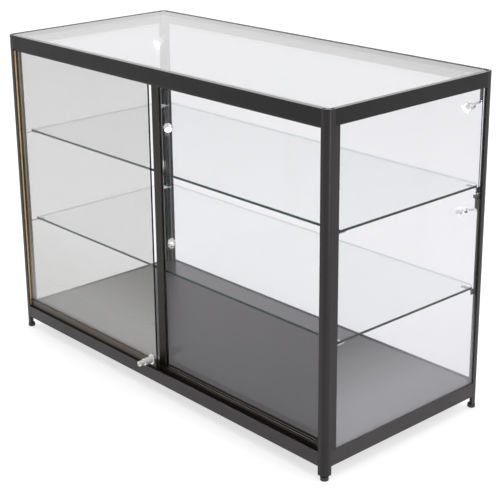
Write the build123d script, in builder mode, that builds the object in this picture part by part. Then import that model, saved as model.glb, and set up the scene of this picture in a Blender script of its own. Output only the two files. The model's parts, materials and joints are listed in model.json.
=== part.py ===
from build123d import *
from math import cos, radians, sin
import os

# Glass display showcase: an aluminium angle frame, glazed on every side but one, where two glass
# doors slide past each other.
#
# Origin: on the floor, under the middle of the whole footprint, lock included. +Z is up, +X runs
# along the counter, -Y is the door (service) side and +Y is the customer side. Sizes are in mm.

# ---------------------------------------------------------------- driving dimensions
WIDTH = 1219.0  # along X, over the posts
DEPTH = 550.0  # along Y, over the posts
HEIGHT = 864.0  # floor to counter top
LOCK_REACH = 36.0  # how far the lock stands out of the door side

# frame
FLANGE = 3.0  # thickness of every visible aluminium flange
POST_FACE = 22.0  # width of each post flange
POST_ROUND = 14.0  # outer radius of the post
POST_CORE = 16.0  # square core inside the post, measured from the outer faces
CORE_CHAMFER = 4.0  # on the core's inner corner
RAIL_FACE = 37.0  # height of the rails
RAIL_BOTTOM = 34.0  # underside of the bottom rails
DOOR_RAIL_TOP = 67.0  # the bottom rail is lower under the doors
LIP = 9.0  # solid rim round the counter top
GASKET = 3.0  # strip between rim and top glass
LEDGE_TOP = 20.0  # reach of the ledges under the top glass
LEDGE_BOTTOM = 22.0  # reach of the ledges under the deck
LEDGE_DOOR = 62.0  # reach of the ledge under track and deck
DECK_LEDGE_Z = 50.0  # top of the bottom ledges
POST_BOTTOM = 12.0

# glass
TOP_GLASS = 6.0
SIDE_GLASS = 5.0
SHELF_GLASS = 6.0
GLASS_IN = 3.5  # outer glass face, in from the outside of the frame
GLASS_END = 16.5  # glass edges stop here, short of the post core
UPPER_SHELF_Z = 589.0  # top faces of the shelves
LOWER_SHELF_Z = 329.0
SHELF_END_GAP = 11.0
SHELF_BACK_GAP = 14.0
SHELF_CORNER = 16.0

# doors
TRACK_Y = (3.2, 47.6)  # span of both tracks, in from the door side
TRACK_WALL = 1.8
TRACK_BASE = 2.0
TRACK_TOP_DROP = 33.0
TRACK_LIP_Z = 66.5
OUTER_DOOR_Y = 13.0  # middle planes of the two doors, in from the door side
INNER_DOOR_Y = 37.4
DOOR_SHOE = 12.0  # thickness of the shoes
DOOR_GLASS_BOTTOM = 60.5
DOOR_GLASS_TOP = 846.0
OUTER_SHOE_TOP = 88.0
INNER_SHOE_TOP = 66.0
SHOE_BOTTOM = 53.4
OUTER_DOOR_EDGE = -7.0  # free edge of the outer door
INNER_DOOR_EDGE = -21.0  # free edge of the inner door
STILE_WIDTH = 26.0
STILE_DEPTH = 11.0
STILE_NOSE = 3.0  # solid part of the stile beyond the glass
WHEEL_R = 3.5
WHEEL_W = 5.0
WHEEL_FROM_END = 60.0
AXLE_R = 1.2

# lock, on the outer door
LOCK_X = -21.5
LOCK_Z = 88.5
BARREL_R = 9.0
PLUNGER_R = 7.0
PLUG_R = 4.5
BOLT_R = 4.0
RUN_FIT = 0.05  # radial running clearance

# deck
DECK_TOP = 68.5
DECK_THICK = 18.0
DECK_EDGE = 9.2

# lamps
LAMP_CORNER = 19.0  # stem axis, in from both outer faces
STEM_R = 3.3
UPPER_LAMP_Z = 793.0  # lower ends of the stems
LOWER_LAMP_Z = 528.0
UPPER_AIM = 70.0  # degrees from the long side
LOWER_AIM = 32.0
HEAD_TILT = 35.0  # degrees below the horizontal
HEAD_OUT = 34.0  # stem axis to tilt axis
HEAD_DROP = 13.0
HEAD_R = 13.0
LEAD_R = 1.0

# feet
FOOT_PAD_R = 10.0
FOOT_PAD_H = 10.0
STUD_R = 4.0
STUD_TOP = 46.0
BORE_IN = 10.5  # stud axis, in from both outer faces

# cable outlet, low in the customer-side rail
CABLE_FROM_END = 110.0
CABLE_Z = 40.5
CABLE_HOLE_R = 5.0
CABLE_R = 3.0

# ---------------------------------------------------------------- derived places
LEFT = -WIDTH / 2
RIGHT = WIDTH / 2
CABLE_X = LEFT + CABLE_FROM_END
DOOR_FACE = (LOCK_REACH - DEPTH) / 2
BACK_FACE = DOOR_FACE + DEPTH
MID_Y = (DOOR_FACE + BACK_FACE) / 2
SEAT_Z = HEIGHT - TOP_GLASS - 0.6
LEDGE_UNDER = SEAT_Z - FLANGE
DECK_LEDGE_UNDER = DECK_LEDGE_Z - FLANGE
TRACK_TOP_Z = LEDGE_UNDER - TRACK_TOP_DROP

os.makedirs("parts", exist_ok=True)

# corners as (name, x, y, inward x sign, inward y sign)
CORNERS = (
    ("door_left", LEFT, DOOR_FACE, 1, 1),
    ("door_right", RIGHT, DOOR_FACE, -1, 1),
    ("customer_left", LEFT, BACK_FACE, 1, -1),
    ("customer_right", RIGHT, BACK_FACE, -1, -1),
)
CUSTOMER_CORNERS = CORNERS[2:]


def save(piece, name):
    """Label a finished piece and write it to its own file."""
    piece.part.label = name
    export_step(piece.part, f"parts/{name}.step")


def corner_plane(corner, z):
    """Plane at height z whose +X and +Y both point inwards from that corner."""
    _, x, y, sx, sy = corner
    return Plane(origin=(x, y, z), x_dir=(sx, 0, 0), z_dir=(0, 0, sx * sy))


def box_between(low, high, mode=Mode.ADD):
    """Box in the current part, from its lowest to its highest corner."""
    size = [b - a for a, b in zip(low, high)]
    with Locations((Vector(*low) + Vector(*high)) / 2):
        return Box(*size, mode=mode)


def rail_plane(side):
    """Section plane at the start of a rail: +X points inwards, +Y points up."""
    if side == "left":
        return Plane(origin=(LEFT, BACK_FACE - POST_FACE, 0), x_dir=(1, 0, 0), z_dir=(0, -1, 0))
    if side == "right":
        return Plane(origin=(RIGHT, DOOR_FACE + POST_FACE, 0), x_dir=(-1, 0, 0), z_dir=(0, 1, 0))
    if side == "door":
        return Plane(origin=(LEFT + POST_FACE, DOOR_FACE, 0), x_dir=(0, 1, 0), z_dir=(1, 0, 0))
    return Plane(origin=(RIGHT - POST_FACE, BACK_FACE, 0), x_dir=(0, -1, 0), z_dir=(-1, 0, 0))


def rail_length(side):
    return (DEPTH if side in ("left", "right") else WIDTH) - 2 * POST_FACE


# ---------------------------------------------------------------- frame
def make_post(corner):
    """Rounded angle with a square core that takes the foot's stud and stops the glass edges."""
    with BuildPart() as post:
        with BuildSketch(corner_plane(corner, POST_BOTTOM)):
            with BuildLine():
                Polyline(
                    (POST_ROUND, 0),
                    (POST_FACE, 0),
                    (POST_FACE, FLANGE),
                    (POST_CORE, FLANGE),
                    (POST_CORE, POST_CORE - CORE_CHAMFER),
                    (POST_CORE - CORE_CHAMFER, POST_CORE),
                    (FLANGE, POST_CORE),
                    (FLANGE, POST_FACE),
                    (0, POST_FACE),
                    (0, POST_ROUND),
                )
                ThreePointArc(
                    (0, POST_ROUND),
                    (POST_ROUND * (1 - sin(radians(45))), POST_ROUND * (1 - cos(radians(45)))),
                    (POST_ROUND, 0),
                )
            make_face()
        extrude(amount=(HEIGHT - POST_BOTTOM) * corner[3] * corner[4])
        # rebate for the corner of the top glass
        with BuildSketch(corner_plane(corner, SEAT_Z)):
            with Locations((LIP, LIP)):
                Rectangle(POST_FACE, POST_FACE, align=(Align.MIN, Align.MIN))
        extrude(amount=HEIGHT * corner[3] * corner[4], mode=Mode.SUBTRACT)
        with BuildSketch(corner_plane(corner, POST_BOTTOM)):
            with Locations((BORE_IN, BORE_IN)):
                Circle(STUD_R + RUN_FIT)
        extrude(amount=(STUD_TOP + 20) * corner[3] * corner[4], mode=Mode.SUBTRACT)
    save(post, f"post_{corner[0]}")


def make_top_rail(side):
    """Flange, rim and glass seat in one section."""
    face_bottom = HEIGHT - RAIL_FACE
    with BuildPart() as rail:
        with BuildSketch(rail_plane(side)):
            with BuildLine():
                Polyline(
                    (0, face_bottom),
                    (0, HEIGHT),
                    (LIP, HEIGHT),
                    (LIP, SEAT_Z),
                    (LEDGE_TOP, SEAT_Z),
                    (LEDGE_TOP, LEDGE_UNDER),
                    (FLANGE, LEDGE_UNDER),
                    (FLANGE, face_bottom),
                    close=True,
                )
            make_face()
        extrude(amount=rail_length(side))
    save(rail, f"top_rail_{side}")


def make_bottom_rail(side):
    """Angle whose ledge carries the glass and the deck."""
    top = DOOR_RAIL_TOP if side == "door" else RAIL_BOTTOM + RAIL_FACE
    reach = LEDGE_DOOR if side == "door" else LEDGE_BOTTOM
    with BuildPart() as rail:
        with BuildSketch(rail_plane(side)):
            with BuildLine():
                Polyline(
                    (0, RAIL_BOTTOM),
                    (0, top),
                    (FLANGE, top),
                    (FLANGE, DECK_LEDGE_Z),
                    (reach, DECK_LEDGE_Z),
                    (reach, DECK_LEDGE_UNDER),
                    (FLANGE, DECK_LEDGE_UNDER),
                    (FLANGE, RAIL_BOTTOM),
                    close=True,
                )
            make_face()
        extrude(amount=rail_length(side))
        if side == "customer":
            with BuildSketch(Plane.XZ.offset(-BACK_FACE)):
                with Locations((CABLE_X, CABLE_Z)):
                    Circle(CABLE_HOLE_R)
            extrude(amount=2 * FLANGE, mode=Mode.SUBTRACT)
    save(rail, f"bottom_rail_{side}")


for corner in CORNERS:
    make_post(corner)
for side in ("door", "customer", "left", "right"):
    make_top_rail(side)
    make_bottom_rail(side)

# corner plates under the ledges, each held by pan-head screws
PLATE = 2.5
PLATE_ARM = 64.0
PLATE_WEB = 14.0
SCREW_R = 2.0
SCREW_HEAD_R = 3.8
SCREW_HEAD_H = 2.2
PLATE_SCREWS = ((56.0, 16.0), (16.0, 56.0), (34.0, 34.0))


# where plates go: corner, ledge underside, inset of the two arms, notch round the post
PLATE_PLACES = [(corner, LEDGE_UNDER, 9.0, POST_CORE + 0.3) for corner in CUSTOMER_CORNERS]
PLATE_PLACES += [(corner, DECK_LEDGE_UNDER, FLANGE + 0.4, 26.0) for corner in CORNERS]

with BuildPart() as corner_plates:
    for corner, under, start, notch in PLATE_PLACES:
        with BuildSketch(corner_plane(corner, under)):
            with BuildLine():
                Polyline(
                    (start, PLATE_ARM),
                    (start, notch),
                    (notch, notch),
                    (notch, start),
                    (PLATE_ARM, start),
                    (PLATE_ARM, start + PLATE_WEB),
                    (start + PLATE_WEB, PLATE_ARM),
                    close=True,
                )
            make_face()
            with Locations(*PLATE_SCREWS):
                Circle(SCREW_R + 0.1, mode=Mode.SUBTRACT)
        extrude(amount=-PLATE * corner[3] * corner[4])
save(corner_plates, "corner_plates")

with BuildPart() as corner_screws:
    for corner, under, _, _ in PLATE_PLACES:
        up = corner[3] * corner[4]
        with BuildSketch(corner_plane(corner, under - PLATE)):
            with Locations(*PLATE_SCREWS):
                Circle(SCREW_HEAD_R)
        extrude(amount=-SCREW_HEAD_H * up)
        with BuildSketch(corner_plane(corner, under - PLATE)):
            with Locations(*PLATE_SCREWS):
                Circle(SCREW_R)
        extrude(amount=PLATE * up)
save(corner_screws, "corner_screws")

# ---------------------------------------------------------------- fixed glass
glass_in = LIP + GASKET
with BuildPart() as top_glass:
    with BuildSketch(Plane.XY.offset(SEAT_Z)):
        with Locations((0, MID_Y)):
            RectangleRounded(WIDTH - 2 * glass_in, DEPTH - 2 * glass_in, 2)
    extrude(amount=TOP_GLASS)
    chamfer(top_glass.faces().sort_by(Axis.Z)[-1].edges(), 0.6)
save(top_glass, "top_glass")


END_GLASS_START = 34.0  # in from the door side, behind the jamb's outer plate

for name, x_face, inward in (("end_glass_left", LEFT, 1), ("end_glass_right", RIGHT, -1)):
    with BuildPart() as pane:
        x_out = x_face + inward * GLASS_IN
        x_in = x_out + inward * SIDE_GLASS
        box_between(
            (min(x_out, x_in), DOOR_FACE + END_GLASS_START, DECK_LEDGE_Z),
            (max(x_out, x_in), BACK_FACE - GLASS_END, LEDGE_UNDER),
        )
        chamfer(pane.edges().filter_by(Axis.Z), 0.5)
    save(pane, name)

with BuildPart() as customer_glass:
    box_between(
        (LEFT + GLASS_END, BACK_FACE - GLASS_IN - SIDE_GLASS, DECK_LEDGE_Z),
        (RIGHT - GLASS_END, BACK_FACE - GLASS_IN, LEDGE_UNDER),
    )
    chamfer(customer_glass.edges().filter_by(Axis.Z), 0.5)
save(customer_glass, "customer_glass")

# gaskets: a frame round the top glass, and strips that press the side glass against the rails
STRIP_T = 2.4
STRIP_H = 7.0
with BuildPart() as gaskets:
    with BuildSketch(Plane.XY.offset(SEAT_Z)):
        with Locations((0, MID_Y)):
            Rectangle(WIDTH - 2 * LIP, DEPTH - 2 * LIP)
            RectangleRounded(WIDTH - 2 * glass_in, DEPTH - 2 * glass_in, 2, mode=Mode.SUBTRACT)
    extrude(amount=TOP_GLASS)
    glass_back = GLASS_IN + SIDE_GLASS
    run_x = WIDTH / 2 - PLATE_ARM - 4
    y_low = DOOR_FACE + PLATE_ARM
    y_high = BACK_FACE - PLATE_ARM - 4
    box_between(
        (-run_x, BACK_FACE - glass_back - STRIP_T, LEDGE_UNDER - STRIP_H),
        (run_x, BACK_FACE - glass_back, LEDGE_UNDER),
    )
    for x_face, inward in ((LEFT, 1), (RIGHT, -1)):
        x_a = x_face + inward * glass_back
        x_b = x_a + inward * STRIP_T
        box_between((min(x_a, x_b), y_low, LEDGE_UNDER - STRIP_H), (max(x_a, x_b), y_high, LEDGE_UNDER))
save(gaskets, "glazing_gaskets")

# ---------------------------------------------------------------- door tracks and jambs
track_walls = (
    TRACK_Y[0],
    (TRACK_Y[0] + TRACK_Y[1] - TRACK_WALL) / 2,
    TRACK_Y[1] - TRACK_WALL,
)


def make_track(name, base_z, lip_z):
    """Double channel along the door side, its base at base_z and its open edge at lip_z."""
    base_end = base_z + (TRACK_BASE if lip_z > base_z else -TRACK_BASE)
    with BuildPart() as track:
        box_between(
            (LEFT + POST_FACE, DOOR_FACE + TRACK_Y[0], min(base_z, base_end)),
            (RIGHT - POST_FACE, DOOR_FACE + TRACK_Y[1], max(base_z, base_end)),
        )
        for wall in track_walls:
            box_between(
                (LEFT + POST_FACE, DOOR_FACE + wall, min(base_z, lip_z)),
                (RIGHT - POST_FACE, DOOR_FACE + wall + TRACK_WALL, max(base_z, lip_z)),
            )
    save(track, name)


make_track("door_track_top", LEDGE_UNDER, TRACK_TOP_Z)
make_track("door_track_bottom", DECK_LEDGE_Z, TRACK_LIP_Z)


# Side channels that the shut doors close into. An outer plate widens the post on the end side and
# covers the edge of the end glass. The right one has a second channel, for the inner door.
JAMB_PLATE_END = 36.0  # how far the outer plate reaches in from the door side
JAMB_BASE = 16.2  # bottom of the channels, in from the end
JAMB_T = 2.0
JAMB_WALL = POST_FACE + 0.2  # wall behind the outer door
JAMB_LAST = TRACK_Y[1] - JAMB_T  # wall behind the inner door
with BuildPart() as jambs:
    for corner in CORNERS[:2]:
        up = corner[3] * corner[4]
        with BuildSketch(corner_plane(corner, RAIL_BOTTOM + RAIL_FACE + 0.2)):
            with Locations((0, JAMB_WALL)):
                Rectangle(FLANGE, JAMB_PLATE_END - JAMB_WALL, align=(Align.MIN, Align.MIN))
        extrude(amount=(HEIGHT - RAIL_BOTTOM - 2 * RAIL_FACE - 0.4) * up)
        with BuildSketch(corner_plane(corner, DECK_LEDGE_Z)):
            with Locations((FLANGE, JAMB_WALL)):
                Rectangle(POST_FACE - FLANGE, JAMB_T, align=(Align.MIN, Align.MIN))
            with Locations((JAMB_BASE, TRACK_Y[0])):
                Rectangle(JAMB_T, JAMB_WALL - TRACK_Y[0], align=(Align.MIN, Align.MIN))
            if corner[1] > 0:
                with Locations((JAMB_BASE, JAMB_WALL)):
                    Rectangle(JAMB_T, TRACK_Y[1] - JAMB_WALL, align=(Align.MIN, Align.MIN))
                with Locations((JAMB_BASE, JAMB_LAST)):
                    Rectangle(POST_FACE - JAMB_BASE, JAMB_T, align=(Align.MIN, Align.MIN))
        extrude(amount=(LEDGE_UNDER - DECK_LEDGE_Z) * up)
save(jambs, "door_jambs")

# ---------------------------------------------------------------- deck
DECK_NOTCH_X = 26.0
DECK_NOTCH_Y = 17.5
with BuildPart() as deck:
    deck_front = DOOR_FACE + TRACK_Y[1] + 0.6
    deck_back = BACK_FACE - DECK_EDGE
    box_between(
        (LEFT + DECK_EDGE, deck_front, DECK_TOP - DECK_THICK),
        (RIGHT - DECK_EDGE, deck_back, DECK_TOP),
    )
    for corner in CUSTOMER_CORNERS:
        with BuildSketch(corner_plane(corner, 0)):
            Rectangle(DECK_NOTCH_X, DECK_NOTCH_Y, align=(Align.MIN, Align.MIN))
        extrude(amount=DECK_TOP * 2 * corner[3] * corner[4], mode=Mode.SUBTRACT)
save(deck, "deck_panel")

BEARER_W = 25.0
BEARER_BOTTOM = 38.5
BEARER_WALL = 1.5
BEARER_TOP = DECK_TOP - DECK_THICK
with BuildPart() as bearers:
    y_low = DOOR_FACE + LEDGE_DOOR + 0.2
    y_high = BACK_FACE - LEDGE_BOTTOM - 0.2
    for x in (-300, 300):
        box_between((x - BEARER_W / 2, y_low, BEARER_BOTTOM), (x + BEARER_W / 2, y_high, BEARER_TOP))
        with BuildSketch(Plane(origin=(x, y_low, 0), x_dir=(1, 0, 0), z_dir=(0, -1, 0))):
            with Locations((0, (BEARER_BOTTOM + BEARER_TOP) / 2)):
                Rectangle(BEARER_W - 2 * BEARER_WALL, BEARER_TOP - BEARER_BOTTOM - 2 * BEARER_WALL)
        extrude(amount=-(y_high - y_low), mode=Mode.SUBTRACT)
save(bearers, "deck_bearers")

# ---------------------------------------------------------------- shelves and their clips
SHELF_FRONT = 50.5


def make_shelf(name, top_z):
    with BuildPart() as shelf:
        box_between(
            (LEFT + SHELF_END_GAP, DOOR_FACE + SHELF_FRONT, top_z - SHELF_GLASS),
            (RIGHT - SHELF_END_GAP, BACK_FACE - SHELF_BACK_GAP, top_z),
        )
        chamfer(shelf.edges().filter_by(Axis.Z).group_by(Axis.Y)[-1], SHELF_CORNER)
        chamfer(shelf.faces().sort_by(Axis.Z)[-1].edges(), 0.5)
    save(shelf, name)


make_shelf("shelf_upper", UPPER_SHELF_Z)
make_shelf("shelf_lower", LOWER_SHELF_Z)

# clips: a tongue under the shelf, and a tab against the post core or the jamb
CLIP_T = 2.5
CLIP_W = 10.0
CLIP_DROP = 14.0
BACK_CLIP_IN = POST_CORE - 6.0  # customer-side clips start here, in from the end
BACK_CLIP_Y = 23.5  # and lie this far in from the customer side
BACK_CLIP_END = 42.0
DOOR_CLIP_X = (9.4, 15.8)  # door-side clips run between the end glass and the jamb's base
DOOR_CLIP_END = 68.0
DOOR_CLIP_PAD = 18.0  # width of the tongue under the shelf
with BuildPart() as clips:
    for shelf_top in (UPPER_SHELF_Z, LOWER_SHELF_Z):
        under = shelf_top - SHELF_GLASS
        for corner in CUSTOMER_CORNERS:
            up = corner[3] * corner[4]
            with BuildSketch(corner_plane(corner, under)):
                with Locations((BACK_CLIP_IN, BACK_CLIP_Y)):
                    Rectangle(BACK_CLIP_END - BACK_CLIP_IN, CLIP_W, align=(Align.MIN, Align.MIN))
            extrude(amount=-CLIP_T * up)
            with BuildSketch(corner_plane(corner, under)):
                with Locations((BACK_CLIP_IN, POST_CORE)):
                    Rectangle(CLIP_T, BACK_CLIP_Y + CLIP_W - POST_CORE, align=(Align.MIN, Align.MIN))
            extrude(amount=-CLIP_DROP * up)
        for corner in CORNERS[:2]:
            up = corner[3] * corner[4]
            clip_start = JAMB_WALL + JAMB_T
            clip_width = DOOR_CLIP_X[1] - DOOR_CLIP_X[0]
            with BuildSketch(corner_plane(corner, under)):
                with Locations((DOOR_CLIP_X[0], clip_start)):
                    Rectangle(clip_width, DOOR_CLIP_END - clip_start, align=(Align.MIN, Align.MIN))
                with Locations((DOOR_CLIP_X[0], SHELF_FRONT)):
                    Rectangle(DOOR_CLIP_PAD, DOOR_CLIP_END - SHELF_FRONT, align=(Align.MIN, Align.MIN))
            extrude(amount=-CLIP_T * up)
            with BuildSketch(corner_plane(corner, under)):
                with Locations((DOOR_CLIP_X[0], clip_start)):
                    Rectangle(clip_width, CLIP_T, align=(Align.MIN, Align.MIN))
            extrude(amount=-CLIP_DROP * up)
save(clips, "shelf_clips")

# ---------------------------------------------------------------- doors
def make_door(name, x_low, x_high, plane_in, shoe_top, lock_hole):
    """Door glass, the shoe with its two wheel pockets and axles, and the wheels."""
    plane_y = DOOR_FACE + plane_in
    half = DOOR_SHOE / 2
    wheel_z = DECK_LEDGE_Z + TRACK_BASE + 0.3 + WHEEL_R
    wheel_x = (x_low + WHEEL_FROM_END, x_high - WHEEL_FROM_END)
    with BuildPart() as glass:
        box_between(
            (x_low, plane_y - SIDE_GLASS / 2, DOOR_GLASS_BOTTOM),
            (x_high, plane_y + SIDE_GLASS / 2, DOOR_GLASS_TOP),
        )
        chamfer(glass.edges().filter_by(Axis.Z), 0.5)
        if lock_hole:
            with BuildSketch(Plane.XZ.offset(-plane_y)):
                with Locations((LOCK_X, LOCK_Z)):
                    Circle(LOCK_HOLE_R)
            extrude(amount=SIDE_GLASS, both=True, mode=Mode.SUBTRACT)
    save(glass, f"{name}_glass")

    with BuildPart() as shoe:
        box_between((x_low, plane_y - half, SHOE_BOTTOM), (x_high, plane_y + half, shoe_top))
        box_between(
            (x_low, plane_y - SIDE_GLASS / 2, DOOR_GLASS_BOTTOM),
            (x_high, plane_y + SIDE_GLASS / 2, shoe_top),
            Mode.SUBTRACT,
        )
        for x in wheel_x:
            box_between(
                (x - 2 * WHEEL_R, plane_y - WHEEL_W / 2 - 0.5, SHOE_BOTTOM),
                (x + 2 * WHEEL_R, plane_y + WHEEL_W / 2 + 0.5, DOOR_GLASS_BOTTOM - 0.8),
                Mode.SUBTRACT,
            )
        if lock_hole:
            with BuildSketch(Plane.XZ.offset(-plane_y)):
                with Locations((LOCK_X, LOCK_Z)):
                    Circle(LOCK_HOLE_R)
            extrude(amount=DOOR_SHOE, both=True, mode=Mode.SUBTRACT)
        # wheel axles, fast in the cheeks
        with BuildSketch(Plane.XZ.offset(-plane_y)):
            with Locations(*[(x, wheel_z) for x in wheel_x]):
                Circle(AXLE_R)
        extrude(amount=half, both=True)
    save(shoe, f"{name}_shoe")

    for side, x in zip(("left", "right"), wheel_x):
        with BuildPart() as wheel:
            with BuildSketch(Plane.XZ.offset(-plane_y)):
                with Locations((x, wheel_z)):
                    Circle(WHEEL_R)
                    Circle(AXLE_R + RUN_FIT, mode=Mode.SUBTRACT)
            extrude(amount=WHEEL_W / 2, both=True)
        save(wheel, f"{name}_wheel_{side}")


LOCK_HOLE_R = 6.2
DOOR_SIDE_GAP = 1.8  # door edge to the bottom of its channel when shut
outer_low = LEFT + JAMB_BASE + JAMB_T + DOOR_SIDE_GAP
inner_high = RIGHT - JAMB_BASE - JAMB_T - DOOR_SIDE_GAP
make_door("left_door", outer_low, OUTER_DOOR_EDGE, OUTER_DOOR_Y, OUTER_SHOE_TOP, True)
inner_low = INNER_DOOR_EDGE + STILE_NOSE
make_door("right_door", inner_low, inner_high, INNER_DOOR_Y, INNER_SHOE_TOP, False)

with BuildPart() as stile:
    plane_y = DOOR_FACE + INNER_DOOR_Y
    stile_high = INNER_DOOR_EDGE + STILE_WIDTH
    box_between(
        (INNER_DOOR_EDGE, plane_y - STILE_DEPTH / 2, INNER_SHOE_TOP),
        (stile_high, plane_y + STILE_DEPTH / 2, TRACK_TOP_Z - 1),
    )
    fillet(stile.edges().filter_by(Axis.Z), 1.5)
    box_between(
        (INNER_DOOR_EDGE + STILE_NOSE, plane_y - SIDE_GLASS / 2, INNER_SHOE_TOP),
        (stile_high, plane_y + SIDE_GLASS / 2, TRACK_TOP_Z - 1),
        Mode.SUBTRACT,
    )
save(stile, "right_door_stile")

# ---------------------------------------------------------------- lock
PLATE_FRONT = 4.0  # lock plate, in from the door side
BORE_END = 0.0
HEAD_BACK = -10.0
BOLT_END = 20.0
BARREL_FRONT = -20.0
NECK_R = 6.0
NECK_END = 10.0  # threaded neck, beyond the door's middle
NUT_R = 10.0
NUT_T = 4.0
LOCK_PLATE = (28.0, 20.0)
PACKING = (14.0, 10.0)
PACKING_UP = 7.5
KEY_SLOT = (1.6, 6.0)
KEY_DEPTH = 5.0
PLUG_DEPTH = 6.0


def lock_plane(inset):
    """Plane across the lock's axis, that far in from the door side, facing out."""
    return Plane(origin=(LOCK_X, DOOR_FACE + inset, LOCK_Z), x_dir=(1, 0, 0), z_dir=(0, -1, 0))


shoe_face = OUTER_DOOR_Y - DOOR_SHOE / 2
glass_face = OUTER_DOOR_Y - SIDE_GLASS / 2
with BuildPart() as lock_barrel:
    with BuildSketch(lock_plane(shoe_face)):
        SlotOverall(*LOCK_PLATE, rotation=90)
    extrude(amount=shoe_face - PLATE_FRONT)
    fillet(lock_barrel.faces().sort_by(Axis.Y)[0].edges(), 1.0)
    # packing that bears on the glass above the shoe
    with BuildSketch(lock_plane(glass_face)):
        with Locations((0, PACKING_UP)):
            Rectangle(*PACKING)
    extrude(amount=glass_face - shoe_face)
    with BuildSketch(lock_plane(PLATE_FRONT)):
        Circle(BARREL_R)
    extrude(amount=PLATE_FRONT - BARREL_FRONT)
    chamfer(lock_barrel.faces().sort_by(Axis.Y)[0].edges(), 0.8)
    with BuildSketch(lock_plane(OUTER_DOOR_Y + NECK_END)):
        Circle(NECK_R)
    extrude(amount=OUTER_DOOR_Y + NECK_END - PLATE_FRONT)
    with BuildSketch(lock_plane(BORE_END)):
        Circle(PLUNGER_R + RUN_FIT)
    extrude(amount=BORE_END - BARREL_FRONT, mode=Mode.SUBTRACT)
    with BuildSketch(lock_plane(OUTER_DOOR_Y + NECK_END)):
        Circle(BOLT_R + RUN_FIT)
    extrude(amount=OUTER_DOOR_Y + NECK_END - BORE_END, mode=Mode.SUBTRACT)
save(lock_barrel, "lock_barrel")

with BuildPart() as lock_nut:
    nut_front = OUTER_DOOR_Y + DOOR_SHOE / 2
    with BuildSketch(lock_plane(nut_front + NUT_T)):
        RegularPolygon(NUT_R, 6)
        Circle(NECK_R, mode=Mode.SUBTRACT)
    extrude(amount=NUT_T)
save(lock_nut, "lock_nut")

with BuildPart() as lock_plunger:
    with BuildSketch(lock_plane(HEAD_BACK)):
        Circle(PLUNGER_R)
    extrude(amount=HEAD_BACK + LOCK_REACH)
    chamfer(lock_plunger.faces().sort_by(Axis.Y)[0].edges(), 0.7)
    with BuildSketch(lock_plane(BOLT_END)):
        Circle(BOLT_R)
    extrude(amount=BOLT_END - HEAD_BACK)
    with BuildSketch(lock_plane(-LOCK_REACH)):
        Circle(PLUG_R + RUN_FIT)
    extrude(amount=-PLUG_DEPTH, mode=Mode.SUBTRACT)
save(lock_plunger, "lock_plunger")

with BuildPart() as lock_plug:
    with BuildSketch(lock_plane(-LOCK_REACH + PLUG_DEPTH)):
        Circle(PLUG_R)
    extrude(amount=PLUG_DEPTH)
    with BuildSketch(lock_plane(-LOCK_REACH)):
        Rectangle(*KEY_SLOT)
    extrude(amount=-KEY_DEPTH, mode=Mode.SUBTRACT)
save(lock_plug, "lock_key_plug")

# ---------------------------------------------------------------- lamps
BRACKET_H = 8.0
BRACKET_REACH = 24.5  # in from both outer faces
STEM_FOOT_R = 6.0
STEM_FOOT_T = 2.0
LOWER_STEM_TOP = 560.0
UPPER_STEM_TOP = LEDGE_UNDER - PLATE


def stem_point(corner):
    return (corner[1] + corner[3] * LAMP_CORNER, corner[2] + corner[4] * LAMP_CORNER)


with BuildPart() as stems:
    for corner in CUSTOMER_CORNERS:
        x, y = stem_point(corner)
        for low, high in ((UPPER_LAMP_Z, UPPER_STEM_TOP), (LOWER_LAMP_Z, LOWER_STEM_TOP)):
            with BuildSketch(Plane(origin=(x, y, low))):
                Circle(STEM_R)
            extrude(amount=high - low)
        # round foot under the top corner plate
        with BuildSketch(Plane(origin=(x, y, UPPER_STEM_TOP - STEM_FOOT_T))):
            Circle(STEM_FOOT_R)
            with Locations((corner[1] - x, corner[2] - y)):
                Rectangle(2 * POST_CORE + 0.6, 2 * POST_CORE + 0.6, mode=Mode.SUBTRACT)
        extrude(amount=STEM_FOOT_T)
        # block on the chamfer of the post core, which holds the lower lamp's stem
        up = corner[3] * corner[4]
        core_side = POST_CORE - CORE_CHAMFER
        with BuildSketch(corner_plane(corner, LOWER_STEM_TOP - BRACKET_H)):
            with BuildLine():
                Polyline(
                    (POST_CORE, core_side),
                    (BRACKET_REACH, core_side),
                    (BRACKET_REACH, BRACKET_REACH),
                    (core_side, BRACKET_REACH),
                    (core_side, POST_CORE),
                    close=True,
                )
            make_face()
        extrude(amount=BRACKET_H * up)
save(stems, "lamp_stems")


def aim_plane(corner, low, turn):
    """Vertical plane through a lamp: origin on the stem's axis, +X along the aim, +Y up."""
    x, y = stem_point(corner)
    along = (corner[3] * cos(radians(turn)), corner[4] * sin(radians(turn)), 0)
    across = (along[1], -along[0], 0)
    return Plane(origin=(x, y, low), x_dir=along, z_dir=across)


def pin_plane(side, pivot, out, way):
    """Plane across a tilt pin, that far out from the head's middle, facing back to it."""
    return Plane(origin=pivot + side.z_dir * (way * out), z_dir=side.z_dir * -way)


FORK_IN = 14.5
FORK_OUT = 17.0
FORK_T = 5.0
COLLAR_H = 5.0
COLLAR_R = 3.8
PIN_R = 1.5
PIN_LENGTH = 4.0
HEAD_BACK_R = 9.0
HEAD_HALF = 10.0
LENS_R = 10.5
LENS_T = 2.0


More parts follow.
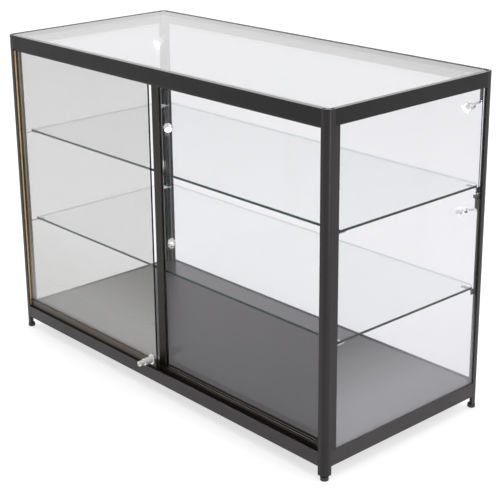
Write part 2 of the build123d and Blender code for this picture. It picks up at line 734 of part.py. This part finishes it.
def make_lamp(name, corner, low, turn):
    """Yoke, head and lens of one lamp, on the lower end of its stem."""
    side = aim_plane(corner, low, turn)
    pivot = side.from_local_coords((HEAD_OUT, -HEAD_DROP, 0))
    collar_mid = -0.3 - COLLAR_H / 2
    hub = side.from_local_coords((0, collar_mid, 0))
    fork_dir = (pivot - hub).normalized()
    reach = (pivot - hub).length
    fork = Plane(origin=hub, x_dir=fork_dir, z_dir=fork_dir.cross(side.z_dir))
    with BuildPart() as yoke:
        with BuildSketch(Plane(origin=(hub.X, hub.Y, low - 0.3 - COLLAR_H))):
            Circle(COLLAR_R)
        extrude(amount=COLLAR_H)
        with BuildSketch(fork):
            with Locations((reach, 0)):
                Circle(FORK_OUT)
                Rectangle(2 * FORK_OUT, 4 * FORK_OUT, align=(Align.MIN, Align.CENTER), mode=Mode.SUBTRACT)
                Rectangle(4, 2 * FORK_OUT, align=(Align.CENTER, Align.CENTER))
            with Locations((0, 0)):
                Rectangle(reach - FORK_OUT + 1, 5, align=(Align.MIN, Align.CENTER))
            with Locations((reach, 0)):
                Circle(FORK_IN, mode=Mode.SUBTRACT)
                Rectangle(2 * FORK_IN, 2 * FORK_IN, align=(Align.MIN, Align.CENTER), mode=Mode.SUBTRACT)
        extrude(amount=FORK_T / 2, both=True)
        # tilt pins
        for way in (1, -1):
            with BuildSketch(pin_plane(side, pivot, FORK_IN + 1, way)):
                Circle(PIN_R)
            extrude(amount=PIN_LENGTH)
    save(yoke, f"{name}_yoke")

    aim = side.x_dir * cos(radians(HEAD_TILT)) - side.y_dir * sin(radians(HEAD_TILT))

    def aim_at(along):
        """Plane across the head's own axis, that far in front of the tilt pins."""
        return Plane(origin=pivot + aim * along, z_dir=aim)

    with BuildPart() as head:
        with BuildSketch(aim_at(-HEAD_HALF)):
            Circle(HEAD_BACK_R)
        extrude(amount=HEAD_HALF)
        with BuildSketch(aim_at(-HEAD_HALF + 4)):
            Circle(HEAD_BACK_R + 1.5)
        with BuildSketch(aim_at(-1)):
            Circle(HEAD_R)
        loft()
        with BuildSketch(aim_at(-1)):
            Circle(HEAD_R)
        extrude(amount=HEAD_HALF + 1)
        with BuildSketch(aim_at(HEAD_HALF)):
            Circle(LENS_R + 0.1)
        extrude(amount=-LENS_T - 0.5, mode=Mode.SUBTRACT)
        for way in (1, -1):
            with BuildSketch(pin_plane(side, pivot, HEAD_R + 1, way)):
                Circle(PIN_R + RUN_FIT)
            extrude(amount=PIN_LENGTH, mode=Mode.SUBTRACT)
    save(head, f"{name}_head")

    with BuildPart() as lens:
        lens_at = pivot + aim * (HEAD_HALF - LENS_T - 0.4)
        with BuildSketch(Plane(origin=lens_at, z_dir=aim)):
            Circle(LENS_R)
        extrude(amount=LENS_T)
    save(lens, f"{name}_lens")


for corner, hand in zip(CUSTOMER_CORNERS, ("left", "right")):
    make_lamp(f"lamp_upper_{hand}", corner, UPPER_LAMP_Z, UPPER_AIM)
    make_lamp(f"lamp_lower_{hand}", corner, LOWER_LAMP_Z, LOWER_AIM)

# ---------------------------------------------------------------- driver, leads and cable outlet
DRIVER = (160.0, 42.0, 14.5)
DRIVER_X = LEFT + 200
DRIVER_Y = BACK_FACE - 70
LEAD_Z = 36.7
with BuildPart() as driver:
    deck_under = DECK_TOP - DECK_THICK
    box_between(
        (DRIVER_X - DRIVER[0] / 2, DRIVER_Y - DRIVER[1] / 2, deck_under - DRIVER[2]),
        (DRIVER_X + DRIVER[0] / 2, DRIVER_Y + DRIVER[1] / 2, deck_under),
    )
    fillet(driver.edges().filter_by(Axis.Z), 3)
save(driver, "led_driver")

with BuildPart() as grommet:
    inner_face = Plane(origin=(CABLE_X, BACK_FACE - FLANGE, CABLE_Z), x_dir=(1, 0, 0), z_dir=(0, -1, 0))
    with BuildSketch(inner_face):
        Circle(CABLE_HOLE_R)
        Circle(CABLE_R, mode=Mode.SUBTRACT)
    extrude(amount=-FLANGE)
    with BuildSketch(inner_face):
        Circle(CABLE_HOLE_R + 1.5)
        Circle(CABLE_R, mode=Mode.SUBTRACT)
    extrude(amount=2)
save(grommet, "cable_grommet")

LEAD_IN_Y = 10.2
LEAD_BEND = 4.0
LEAD_LOOP = 16.0  # how far a lower lamp's lead rises above its stem before it turns back
LOWER_LEAD_X = 18.2  # the leads' places in the corners, in from the ends
UPPER_LEAD_X = 20.6
UPPER_LEAD_TOP = 836.0


def lead_points(corner, inset_x, lower):
    """Route of a lead: out of the driver, under the deck, up the corner and to its lamp."""
    x = corner[1] + corner[3] * inset_x
    y = corner[2] + corner[4] * LEAD_IN_Y
    stem_x, stem_y = stem_point(corner)
    run_y = DRIVER_Y + (-6 if lower else 6)
    end_x = DRIVER_X - DRIVER[0] / 2 if corner[1] < 0 else DRIVER_X + DRIVER[0] / 2
    top = LOWER_STEM_TOP + LEAD_LOOP if lower else UPPER_LEAD_TOP
    points = [(end_x, run_y, LEAD_Z), (x, run_y, LEAD_Z), (x, y, LEAD_Z), (x, y, top)]
    if lower:
        return points + [(stem_x, stem_y, top), (stem_x, stem_y, LOWER_STEM_TOP + 0.1)]
    return points + [(stem_x, stem_y + STEM_R + 0.3, top)]


with BuildPart() as leads:
    for corner in CUSTOMER_CORNERS:
        for inset_x, lower in ((LOWER_LEAD_X, True), (UPPER_LEAD_X, False)):
            points = lead_points(corner, inset_x, lower)
            start = Vector(*points[0])
            with BuildLine() as route:
                FilletPolyline(*points, radius=LEAD_BEND)
            with BuildSketch(Plane(origin=start, z_dir=Vector(*points[1]) - start)):
                Circle(LEAD_R)
            sweep()
save(leads, "lamp_leads")

# ---------------------------------------------------------------- levelling feet
for corner in CORNERS:
    centre = corner_plane(corner, 0).from_local_coords((BORE_IN, BORE_IN, 0))
    with BuildPart() as foot:
        with BuildSketch(Plane(origin=centre)):
            Circle(FOOT_PAD_R)
        extrude(amount=FOOT_PAD_H)
        fillet(foot.faces().sort_by(Axis.Z)[-1].edges(), 2)
        chamfer(foot.faces().sort_by(Axis.Z)[0].edges(), 0.8)
        with BuildSketch(Plane(origin=centre)):
            Circle(STUD_R)
        extrude(amount=STUD_TOP)
        with BuildSketch(Plane(origin=centre).offset(FOOT_PAD_H - 0.5)):
            RegularPolygon(6.5, 6)
        extrude(amount=POST_BOTTOM - FOOT_PAD_H + 0.5)
    save(foot, f"foot_{corner[0]}")
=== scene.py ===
import json
import math

import bmesh
import bpy
from mathutils import Matrix, Vector


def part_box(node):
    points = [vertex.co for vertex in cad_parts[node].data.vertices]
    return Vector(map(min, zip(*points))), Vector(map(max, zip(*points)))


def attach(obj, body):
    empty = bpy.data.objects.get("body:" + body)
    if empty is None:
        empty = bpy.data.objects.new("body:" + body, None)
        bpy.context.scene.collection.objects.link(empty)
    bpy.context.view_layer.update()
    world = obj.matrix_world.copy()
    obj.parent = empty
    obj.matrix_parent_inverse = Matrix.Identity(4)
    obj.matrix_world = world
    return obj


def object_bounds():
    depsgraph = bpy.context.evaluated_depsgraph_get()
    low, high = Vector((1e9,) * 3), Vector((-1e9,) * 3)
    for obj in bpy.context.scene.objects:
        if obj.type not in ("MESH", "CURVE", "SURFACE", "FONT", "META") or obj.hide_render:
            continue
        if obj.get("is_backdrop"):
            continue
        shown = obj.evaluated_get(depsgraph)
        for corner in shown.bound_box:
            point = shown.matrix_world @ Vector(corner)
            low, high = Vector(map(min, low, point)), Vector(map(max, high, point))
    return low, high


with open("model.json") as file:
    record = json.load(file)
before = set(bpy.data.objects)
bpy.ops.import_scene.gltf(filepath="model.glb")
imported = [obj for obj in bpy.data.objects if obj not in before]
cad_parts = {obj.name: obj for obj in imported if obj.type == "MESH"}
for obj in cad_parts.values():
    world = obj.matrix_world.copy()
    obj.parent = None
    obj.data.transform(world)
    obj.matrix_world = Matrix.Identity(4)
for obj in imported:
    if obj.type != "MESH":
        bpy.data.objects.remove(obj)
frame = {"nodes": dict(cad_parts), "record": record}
nodes = frame["nodes"]
scene = bpy.context.scene
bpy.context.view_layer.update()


# ---------------------------------------------------------------- camera

AZIMUTH = math.radians(49.04)
ELEVATION = math.radians(17.80)
ROLL = math.radians(-0.93)
DISTANCE = 3.374
TARGET = Vector((-0.0507, 0.018, 0.4637))

back = Vector((
    math.sin(AZIMUTH) * math.cos(ELEVATION),
    -math.cos(AZIMUTH) * math.cos(ELEVATION),
    math.sin(ELEVATION),
))
level_right = Vector((0, 0, 1)).cross(back).normalized()
level_up = back.cross(level_right)
right = math.cos(ROLL) * level_right + math.sin(ROLL) * level_up
up = back.cross(right)

camera_data = bpy.data.cameras.new("camera")
camera_data.sensor_width = 36.0
camera_data.lens = 91.6
camera_data.shift_x = 0.06
camera_data.shift_y = -0.10
camera_data.clip_start = 0.05
camera_data.clip_end = 200.0
camera = bpy.data.objects.new("camera", camera_data)
scene.collection.objects.link(camera)
camera.matrix_world = Matrix.Translation(TARGET + DISTANCE * back) @ Matrix((
    (right.x, up.x, back.x),
    (right.y, up.y, back.y),
    (right.z, up.z, back.z),
)).to_4x4()
bpy.context.scene.camera = camera


# ---------------------------------------------------------------- materials

def srgb(red, green, blue):
    """Linear colour from ordinary 0 to 255 values."""
    linear = []
    for value in (red, green, blue):
        c = value / 255
        linear.append(c / 12.92 if c <= 0.04045 else ((c + 0.055) / 1.055) ** 2.4)
    return (*linear, 1.0)


class Finish:
    """A node material in the making, with short calls for the nodes used here."""

    def __init__(self, name):
        self.material = bpy.data.materials.new(name)
        self.material.use_nodes = True
        self.tree = self.material.node_tree
        self.tree.nodes.clear()
        self.output = self.add("OutputMaterial")
        self.shader = self.add("BsdfPrincipled")
        self.link(self.shader.outputs["BSDF"], self.output.inputs["Surface"])
        self.place = self.add("TexCoord").outputs["Object"]

    def add(self, kind, **values):
        node = self.tree.nodes.new("ShaderNode" + kind)
        for key, value in values.items():
            setattr(node, key, value)
        return node

    def link(self, source, target):
        self.tree.links.new(source, target)

    def stretch(self, x, y, z):
        """The object's own coordinates, scaled along each axis."""
        mapping = self.add("Mapping")
        mapping.inputs["Scale"].default_value = (x, y, z)
        self.link(self.place, mapping.inputs["Vector"])
        return mapping.outputs["Vector"]

    def noise(self, scale, detail=2.0, roughness=0.5, vector=None):
        node = self.add("TexNoise")
        node.inputs["Scale"].default_value = scale
        node.inputs["Detail"].default_value = detail
        node.inputs["Roughness"].default_value = roughness
        self.link(vector or self.place, node.inputs["Vector"])
        return node.outputs["Fac"]

    def remap(self, value, low, high, from_low=0.3, from_high=0.7):
        node = self.add("MapRange")
        node.inputs["From Min"].default_value = from_low
        node.inputs["From Max"].default_value = from_high
        node.inputs["To Min"].default_value = low
        node.inputs["To Max"].default_value = high
        self.link(value, node.inputs["Value"])
        return node.outputs["Result"]

    def tint(self, value, low, high, from_low=0.3, from_high=0.7):
        """A colour that runs from low to high with the value."""
        node = self.add("ValToRGB")
        node.color_ramp.elements[0].position = from_low
        node.color_ramp.elements[0].color = low
        node.color_ramp.elements[1].position = from_high
        node.color_ramp.elements[1].color = high
        self.link(value, node.inputs["Fac"])
        return node.outputs["Color"]

    def math(self, operation, first, second):
        node = self.add("Math", operation=operation)
        for socket, value in zip(node.inputs, (first, second)):
            if isinstance(value, (int, float)):
                socket.default_value = value
            else:
                self.link(value, socket)
        return node.outputs[0]

    def colour(self, source):
        self.link(source, self.shader.inputs["Base Color"])

    def rough(self, source):
        self.link(source, self.shader.inputs["Roughness"])

    def bump(self, height, distance, strength=1.0):
        node = self.add("Bump")
        node.inputs["Strength"].default_value = strength
        node.inputs["Distance"].default_value = distance
        self.link(height, node.inputs["Height"])
        self.link(node.outputs["Normal"], self.shader.inputs["Normal"])

    def set(self, **values):
        for key, value in values.items():
            self.shader.inputs[key.replace("_", " ")].default_value = value
        return self


def coated(name, dark, light, rough_low, rough_high, peel=900, depth=0.00002, specular=0.5):
    """Paint or powder coat: slight drift of tone, orange peel and uneven gloss."""
    finish = Finish(name)
    finish.colour(finish.tint(finish.noise(7, 4), dark, light))
    finish.rough(finish.remap(finish.noise(24, 2), rough_low, rough_high))
    finish.bump(finish.noise(peel, 2), depth)
    return finish.set(Specular_IOR_Level=specular)


def drawn_metal(name, dark, light, rough_low, rough_high, along="x", metallic=1.0, depth=0.000006):
    """Extruded or brushed metal, with fine lines along one axis."""
    finish = Finish(name)
    lines = {"x": (4, 900, 900), "y": (900, 4, 900), "z": (900, 900, 4)}[along]
    streaks = finish.noise(1, 3, 0.6, finish.stretch(*lines))
    finish.colour(finish.tint(streaks, dark, light))
    finish.rough(finish.remap(streaks, rough_low, rough_high))
    finish.bump(streaks, depth)
    return finish.set(Metallic=metallic)


def moulded(name, dark, light, rough_low, rough_high, grain=1500, depth=0.00001):
    """Moulded plastic or rubber: a fine spark-eroded grain."""
    finish = Finish(name)
    finish.colour(finish.tint(finish.noise(40, 3), dark, light))
    finish.rough(finish.remap(finish.noise(200, 3), rough_low, rough_high))
    finish.bump(finish.noise(grain, 2), depth)
    return finish


DUST_AND_PAINTED_VEIL_FADE = (0.16, 0.34)  # heights between which the film at a pane's foot thins out


def pane(name, through, mirror_share, film_share, film_colour=(0.82, 0.84, 0.84, 1), steepness=5.0,
         low_share=None):
    """The faces of a flat pane: what is behind shows through, more is mirrored at a low angle, and a
    very thin film catches light: dust and wiping marks on most panes, a heavier pale veil on the left
    door, and on the end pane dust with a painted veil of reflected light. low_share is the film's
    share at the foot of an upright pane, where there is more of it."""
    finish = Finish(name)
    finish.tree.nodes.remove(finish.shader)
    clear = finish.add("BsdfTransparent")
    clear.inputs["Color"].default_value = through
    mirror = finish.add("BsdfGlossy")
    mirror.inputs["Roughness"].default_value = 0.015
    film = finish.add("BsdfDiffuse")
    smear_and_veil_drift = finish.noise(2.4, 3, 0.5, finish.stretch(1.0, 1.0, 0.6))
    thin = (*(0.9 * part for part in film_colour[:3]), 1)
    finish.link(finish.tint(smear_and_veil_drift, thin, film_colour), film.inputs["Color"])
    facing = finish.add("LayerWeight")
    facing.inputs["Blend"].default_value = 0.5
    steep = finish.math("POWER", facing.outputs["Facing"], steepness)
    mirrored = finish.math("ADD", finish.math("MULTIPLY", steep, 1 - mirror_share), mirror_share)
    glassy = finish.add("MixShader")
    finish.link(mirrored, glassy.inputs["Fac"])
    finish.link(clear.outputs["BSDF"], glassy.inputs[1])
    finish.link(mirror.outputs["BSDF"], glassy.inputs[2])
    dust_and_painted_veil = finish.add("MixShader")
    dust_and_painted_veil.inputs["Fac"].default_value = film_share
    if low_share:
        height = finish.add("SeparateXYZ")
        finish.link(finish.place, height.inputs["Vector"])
        thinning = finish.remap(height.outputs["Z"], low_share, film_share, *DUST_AND_PAINTED_VEIL_FADE)
        finish.link(thinning, dust_and_painted_veil.inputs["Fac"])
    finish.link(glassy.outputs["Shader"], dust_and_painted_veil.inputs[1])
    finish.link(film.outputs["BSDF"], dust_and_painted_veil.inputs[2])
    finish.link(dust_and_painted_veil.outputs["Shader"], finish.output.inputs["Surface"])
    return finish


def glass_edge(name, dark, light, from_inside):
    """The polished edge of a pane: deep green seen from outside, and mostly clear when it is seen
    from inside the glass, through one of the faces."""
    finish = Finish(name)
    finish.colour(finish.tint(finish.noise(9, 4), dark, light))
    finish.rough(finish.remap(finish.noise(300, 2), 0.12, 0.30))
    finish.bump(finish.noise(500, 2), 0.00001)
    finish.set(Specular_IOR_Level=0.25)
    clear = finish.add("BsdfTransparent")
    clear.inputs["Color"].default_value = (0.86, 0.89, 0.88, 1)
    side = finish.add("NewGeometry").outputs["Backfacing"]
    mix = finish.add("MixShader")
    finish.link(finish.math("MULTIPLY", side, from_inside), mix.inputs["Fac"])
    finish.link(finish.shader.outputs["BSDF"], mix.inputs[1])
    finish.link(clear.outputs["BSDF"], mix.inputs[2])
    finish.link(mix.outputs["Shader"], finish.output.inputs["Surface"])
    return finish


powder = coated("powder_coat", srgb(22, 17, 18), srgb(31, 26, 28), 0.30, 0.40, specular=0.34)
# Top rails get a darker copy of the coat: painted shade, since the whole frame wears one powder coat.
powder_top_painted_shade = coated("powder_coat_top_painted_shade", srgb(13, 10, 11), srgb(20, 16, 18), 0.32, 0.42, specular=0.24)
# Bottom rails get a lighter copy of the coat: painted light from the bright floor.
powder_bottom_painted_light = coated("powder_coat_bottom_painted_light", srgb(36, 31, 33), srgb(46, 41, 44), 0.30, 0.40, specular=0.34)
# A lighter, glossier copy of the top coat for the rim around the top glass: a painted highlight.
rim_painted_highlight = coated("powder_coat_rim_painted_highlight", srgb(26, 22, 24), srgb(36, 31, 34), 0.14, 0.22, specular=1.0)
track = drawn_metal("track", srgb(38, 34, 31), srgb(54, 49, 45), 0.34, 0.48, "x", 0.1)
track.set(Specular_IOR_Level=0.25)
shoe = drawn_metal("door_shoe", srgb(58, 50, 42), srgb(76, 67, 58), 0.30, 0.44, "x", 0.2)
seal = moulded("seal", srgb(74, 74, 78), srgb(94, 94, 98), 0.60, 0.80)
# Brush pile: pale, and its golden tint and faint glow are painted lamp light in the side channels.
pile_with_painted_glow = moulded("pile_with_painted_glow", srgb(196, 166, 112), srgb(222, 196, 146), 0.80, 0.95, 2500, 0.00006)
pile_with_painted_glow.set(Emission_Color=(1.0, 0.72, 0.38, 1), Emission_Strength=0.05)
zinc = coated("zinc_plate", srgb(150, 152, 156), srgb(186, 188, 190), 0.25, 0.45, 700, 0.00001)
zinc.set(Metallic=1.0)
bearer = drawn_metal("bearer", srgb(150, 152, 156), srgb(196, 198, 200), 0.28, 0.44, "y")
chrome = coated("chrome", srgb(205, 207, 210), srgb(226, 227, 230), 0.06, 0.14, 500, 0.000002)
chrome.set(Metallic=1.0)
nickel = drawn_metal("nickel", srgb(226, 224, 220), srgb(244, 243, 240), 0.18, 0.30, "y", 0.65)
key_plate = coated("key_plate", srgb(196, 182, 150), srgb(220, 208, 178), 0.18, 0.32, 500, 0.000003)
key_plate.set(Metallic=0.9)
stile = moulded("stile", srgb(26, 23, 18), srgb(40, 36, 29), 0.30, 0.44)
nylon = moulded("nylon", srgb(210, 210, 204), srgb(232, 232, 226), 0.35, 0.50)
lamp_dark = coated("lamp_dark", srgb(56, 56, 58), srgb(78, 78, 80), 0.30, 0.45)
lamp_silver = drawn_metal("lamp_silver", srgb(214, 215, 218), srgb(240, 240, 242), 0.16, 0.28, "z")
# The silver lamp shells glow faintly: painted light, since only the lenses are lamps.
lamp_silver.set(Emission_Color=(1.0, 0.98, 0.94, 1), Emission_Strength=0.50)
lens = moulded("lamp_lens", srgb(236, 238, 234), srgb(250, 250, 246), 0.10, 0.22)
lens.set(Emission_Color=(1.0, 0.97, 0.90, 1), Emission_Strength=7.0)
case_plastic = moulded("driver_case", srgb(214, 214, 210), srgb(232, 232, 228), 0.40, 0.55)
lead = moulded("lead", srgb(118, 118, 120), srgb(140, 140, 142), 0.45, 0.60)
rubber = moulded("rubber", srgb(22, 22, 22), srgb(36, 36, 36), 0.60, 0.80)
foot = moulded("foot", srgb(20, 20, 20), srgb(32, 32, 32), 0.30, 0.45)

laminate = Finish("deck_laminate")
laminate_grain = laminate.noise(1, 5, 0.6, laminate.stretch(14, 160, 160))
laminate.colour(laminate.tint(laminate_grain, srgb(57, 51, 53), srgb(64, 58, 60)))
laminate.rough(laminate.remap(laminate.noise(5, 2), 0.34, 0.39))

clear_face = pane("clear_glass_face", (0.920, 0.920, 0.927, 1), 0.015, 0.006)
top_face = pane("top_glass_face", (0.87, 0.87, 0.885, 1), 0.04, 0.03, steepness=3.0)
# The end pane's heavier lavender film, thickest at its foot, is dust plus a painted veil of reflected
# light.
end_face = pane("end_glass_face", (0.900, 0.900, 0.908, 1), 0.015, 0.012, (0.83, 0.82, 0.86, 1),
                low_share=0.16)
door_face = pane("left_door_glass_face", (0.825, 0.825, 0.82, 1), 0.02, 0.075, (0.93, 0.93, 0.90, 1),
                 low_share=0.25)
shelf_face = pane("shelf_glass_face", (0.990, 0.994, 0.992, 1), 0.02, 0.004, steepness=6.0)
clear_edge = glass_edge("clear_glass_edge", srgb(12, 22, 20), srgb(24, 38, 35), 0.8)
shelf_edge = glass_edge("shelf_glass_edge", srgb(2, 50, 42), srgb(8, 66, 56), 0.9)
# The shelves' edges toward the ends get a near-black copy of the edge colour: painted shade.
shelf_end_painted_shade = glass_edge("shelf_glass_end_painted_shade", srgb(6, 8, 8), srgb(12, 15, 15), 0.9)

by_slot = {
    "frame_aluminium": powder,
    "track_aluminium": track,
    "gasket": seal,
    "plate_steel": zinc,
    "deck_laminate": laminate,
    "bearer_aluminium": bearer,
    "chrome": chrome,
    "key_brass": key_plate,
    "stile_plastic": stile,
    "wheel_nylon": nylon,
    "lamp_dark": lamp_dark,
    "lamp_silver": lamp_silver,
    "lamp_lens": lens,
    "driver_case": case_plastic,
    "lead_pvc": lead,
    "grommet_rubber": rubber,
    "foot_plastic": foot,
}


def wear(node, *finishes):
    """Gives a CAD node its materials, one for each slot of its object."""
    mesh = nodes[node].data
    mesh.materials.clear()
    for finish in finishes:
        mesh.materials.append(finish.material)


def wear_pane(node, axis, face, edge, end):
    """A pane's two large faces, square to axis, get one material, and its edges another. Its edges
    toward the ends of the case get a third."""
    wear(node, face, edge, end)
    for polygon in nodes[node].data.polygons:
        if abs(polygon.normal[axis]) > 0.9:
            polygon.material_index = 0
        elif axis != 0 and abs(polygon.normal[0]) > 0.9:
            polygon.material_index = 2
        else:
            polygon.material_index = 1


for entry in frame["record"]["subparts"]:
    if entry["material_slot"] in by_slot:
        wear(entry["node"], by_slot[entry["material_slot"]])
for name in ("left_door_shoe", "right_door_shoe"):
    wear(name, shoe)
for name in ("lock_barrel", "lock_nut", "lock_plunger"):
    wear(name, nickel)
for name in nodes:
    # Bottom rails wear the lighter copy of the coat, which is painted light from the floor.
    if name.startswith("bottom_rail"):
        wear(name, powder_bottom_painted_light)
    # Top rails wear the darker copy of the coat, which is painted shade.
    elif name.startswith("top_rail"):
        wear(name, powder_top_painted_shade, rim_painted_highlight)
        # Only the near rails' upper faces take the lighter rim copy, as a painted highlight.
        painted_highlight_side = name in ("top_rail_door", "top_rail_right")
        for polygon in nodes[name].data.polygons:
            polygon.material_index = int(painted_highlight_side and polygon.normal.z > 0.9)
for corner in ("upper_left", "upper_right", "lower_left", "lower_right"):
    wear(f"lamp_{corner}_yoke", chrome)

for name, axis, face, edge, end in (
    ("top_glass", 2, top_face, clear_edge, clear_edge),
    ("end_glass_left", 0, clear_face, clear_edge, clear_edge),
    ("end_glass_right", 0, end_face, clear_edge, clear_edge),
    ("customer_glass", 1, clear_face, clear_edge, clear_edge),
    ("left_door_glass", 1, door_face, clear_edge, clear_edge),
    ("right_door_glass", 1, clear_face, clear_edge, clear_edge),
    # The shelves' end edges wear the painted-shade copy of the edge colour.
    ("shelf_upper", 2, shelf_face, shelf_edge, shelf_end_painted_shade),
    ("shelf_lower", 2, shelf_face, shelf_edge, shelf_end_painted_shade),
):
    wear_pane(name, axis, face, edge, end)


# ---------------------------------------------------------------- brush seals

BRUSH_ROUND = 0.0006


def strip(name, low, high, finish):
    """A strip with rounded long edges, from one corner of its box to the other."""
    mesh = bpy.data.meshes.new(name)
    form = bmesh.new()
    bmesh.ops.create_cube(form, size=1.0)
    size = Vector(high) - Vector(low)
    middle = (Vector(high) + Vector(low)) / 2
    for vertex in form.verts:
        vertex.co = Vector(a * b for a, b in zip(vertex.co, size)) + middle
    along = max(range(3), key=lambda axis: size[axis])
    long_edges = [
        edge for edge in form.edges
        if abs((edge.verts[0].co - edge.verts[1].co)[along]) > 0.5 * size[along]
    ]
    bmesh.ops.bevel(form, geom=long_edges, offset=BRUSH_ROUND, segments=2, affect="EDGES")
    form.to_mesh(mesh)
    form.free()
    mesh.materials.append(finish.material)
    piece = bpy.data.objects.new(name, mesh)
    scene.collection.objects.link(piece)
    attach(piece, "case")


# Brush seals line the side channels, on both sides of each shut door's edge. Each row's places are
# in from the outer face on the door side.
post_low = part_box("post_door_left")[0]
CHANNEL_BASE = 0.0182  # in from the outer faces of the ends
BRUSH_TIP = 0.0197
BRUSH_BOTTOM = 0.0690
BRUSH_TOP = 0.8200
for side, inward, rows in (
    ("left", 1, ((0.0046, 0.0094), (0.0166, 0.0214))),
    ("right", -1, ((0.0046, 0.0094), (0.0166, 0.0214), (0.0262, 0.0322), (0.0420, 0.0450))),
):
    x_low, x_high = sorted(inward * (post_low.x + inset) for inset in (CHANNEL_BASE, BRUSH_TIP))
    for number, (y_low, y_high) in enumerate(rows, 1):
        low = (x_low, post_low.y + y_low, BRUSH_BOTTOM)
        high = (x_high, post_low.y + y_high, BRUSH_TOP)
        # The seals' pile carries painted lamp light: a golden glow.
        strip(f"brush_seal_{side}_{number}", low, high, pile_with_painted_glow)


# ---------------------------------------------------------------- floor and light

scene.view_settings.view_transform = "Standard"
scene.cycles.transparent_max_bounces = 40

# The studio is bright behind the case and overhead, and dimmer in front of it.
STUDIO_BRIGHT_SIDE = Vector((-0.72, 0.62, 0.31)).normalized()
STUDIO_DIM, STUDIO_BRIGHT = 0.30, 1.28
FLOOR_RADIUS = 40.0

world = bpy.data.worlds.new("studio")
scene.world = world
world.use_nodes = True
sky = world.node_tree
direction = sky.nodes.new("ShaderNodeTexCoord").outputs["Generated"]
toward = sky.nodes.new("ShaderNodeVectorMath")
toward.operation = "DOT_PRODUCT"
toward.inputs[1].default_value = STUDIO_BRIGHT_SIDE
sky.links.new(direction, toward.inputs[0])
level = sky.nodes.new("ShaderNodeMapRange")
level.interpolation_type = "SMOOTHSTEP"
level.inputs["From Min"].default_value = -0.35
level.inputs["From Max"].default_value = 0.90
level.inputs["To Min"].default_value = STUDIO_DIM
level.inputs["To Max"].default_value = STUDIO_BRIGHT
sky.links.new(toward.outputs["Value"], level.inputs["Value"])
sky.links.new(level.outputs["Result"], sky.nodes["Background"].inputs["Strength"])
sky.nodes["Background"].inputs["Color"].default_value = (1.0, 1.0, 1.0, 1)

floor_mesh = bpy.data.meshes.new("floor")
form = bmesh.new()
bmesh.ops.create_circle(form, cap_ends=True, segments=96, radius=FLOOR_RADIUS)
form.to_mesh(floor_mesh)
form.free()
floor = bpy.data.objects.new("floor", floor_mesh)
scene.collection.objects.link(floor)
floor_finish = moulded("floor", (0.50, 0.50, 0.50, 1), (0.53, 0.53, 0.53, 1), 0.6, 0.7, 300, 0.00005)
floor_finish.set(Specular_IOR_Level=0.2, Emission_Color=(1, 1, 1, 1), Emission_Strength=0.66)
floor_mesh.materials.append(floor_finish.material)
floor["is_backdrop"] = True


def soft_light(name, place, aim, width, height, power):
    """A rectangular area light that faces its aim."""
    data = bpy.data.lights.new(name, "AREA")
    data.shape = "RECTANGLE"
    data.size = width
    data.size_y = height
    data.energy = power
    light = bpy.data.objects.new(name, data)
    light.location = place
    light.rotation_euler = (Vector(aim) - Vector(place)).to_track_quat("-Z", "Y").to_euler()
    scene.collection.objects.link(light)


soft_light("overhead", (0.4, 0.6, 3.4), (0, 0, 0), 5.0, 5.0, 85)
soft_light("side", (3.0, -0.5, 0.62), (0.6, -0.25, 0.45), 0.35, 1.2, 16)


low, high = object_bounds()
